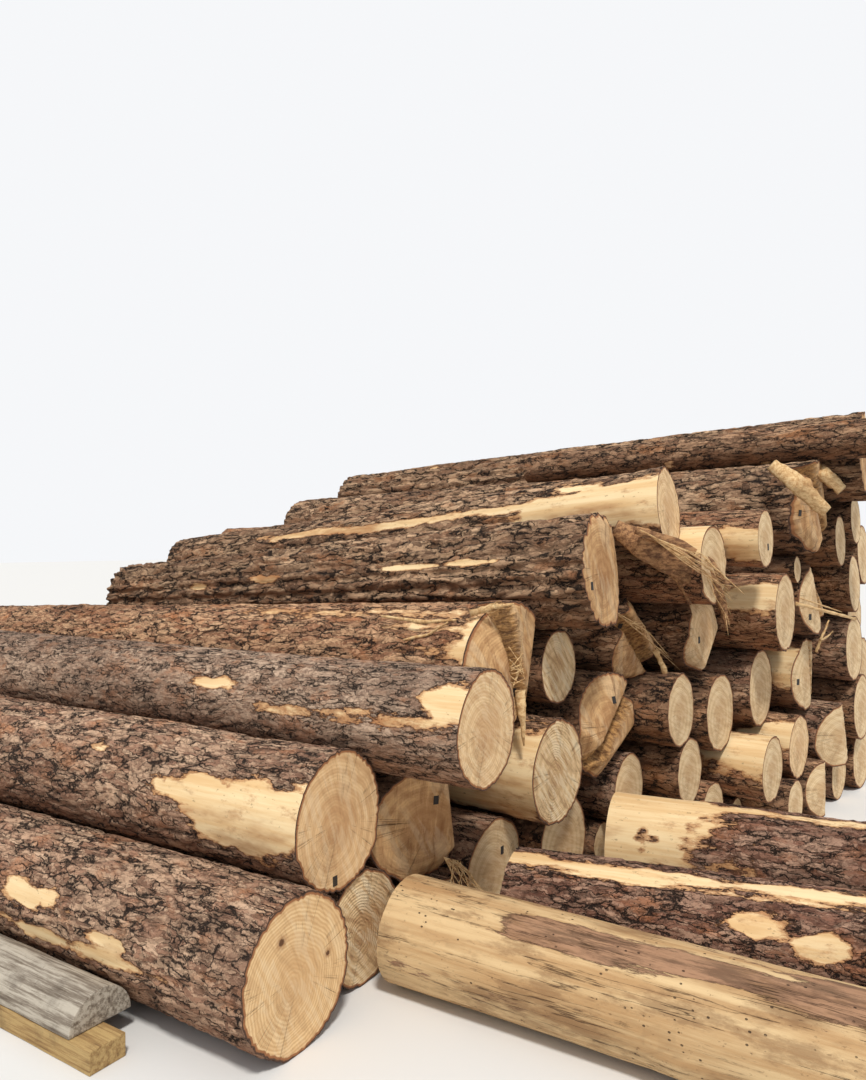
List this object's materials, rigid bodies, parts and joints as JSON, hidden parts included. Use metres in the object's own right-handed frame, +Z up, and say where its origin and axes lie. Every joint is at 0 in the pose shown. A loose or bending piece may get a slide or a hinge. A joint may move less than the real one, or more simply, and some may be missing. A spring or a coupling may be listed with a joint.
{
  "type": "heap of logs",
  "caption": "Heap of barked pine logs stacked side by side in a rough pyramid, with loose logs at its foot and a timber and slab chocking one side.",
  "frame": {"origin": "centre of the bounding box's bottom face, on the ground", "axes": "+X runs along the face of the heap to the right, +Y from the face to the back along the logs, +Z up"},
  "size_m": [5.8323, 8.1612, 2.356],
  "materials": {
    "bark": "rough scaly pine bark, purple brown to grey brown",
    "bare_wood": "debarked pine, dusty cream and tan",
    "sawn_timber": "rough sawn, yellow brown",
    "weathered_slab": "weathered grey, slightly fibrous"
  },
  "bodies": {
    "root": {"angular_butt_log": "bark", "bare_loose_log": "bare_wood", "broken_butt_log": "bark", "brown_round_log": "bark", "clean_face_log": "bark", "cream_ended_loose_log": "bark", "dim_ground_log": "bark", "double_faced_log": "bark", "dusty_round_log": "bark", "edge_lower_log": "bark", "edge_middle_log": "bark", "edge_top_log": "bark", "edge_upper_log": "bark", "flank_low_logs": "bark", "flank_middle_log": "bark", "flank_second_log": "bark", "flank_top_log": "bark", "flank_upper_log": "bark", "furrowed_bark_log": "bark", "grey_bark_log": "bark", "half_round_slab": "weathered_slab", "heart_butt_log": "bark", "hidden_ground_logs": "bark", "hidden_upper_log": "bark", "left_ground_log": "bark", "low_right_log": "bark", "lower_saw_marked_log": "bark", "middle_round_log": "bark", "notched_butt_log": "bark", "notched_low_log": "bark", "pale_round_log": "bark", "peeled_side_log": "bark", "peeled_small_log": "bark", "peeled_top_log": "bare_wood", "ridged_log": "bark", "right_tall_log": "bark", "saw_faced_ground_log": "bark", "shaded_ground_log": "bark", "shaded_round_log": "bark", "split_butt_log": "bark", "squared_timber": "sawn_timber", "striped_top_log": "bark", "stub_faced_log": "bark", "tagged_low_log": "bark", "tall_round_log": "bark", "thin_ground_log": "bark", "thin_top_log": "bark", "thin_upper_log": "bark", "two_faced_low_log": "bark", "upper_round_log": "bark", "upper_saw_marked_log": "bark", "wedge_butt_log": "bark", "yellow_patched_loose_log": "bark"}
  },
  "joints": []
}
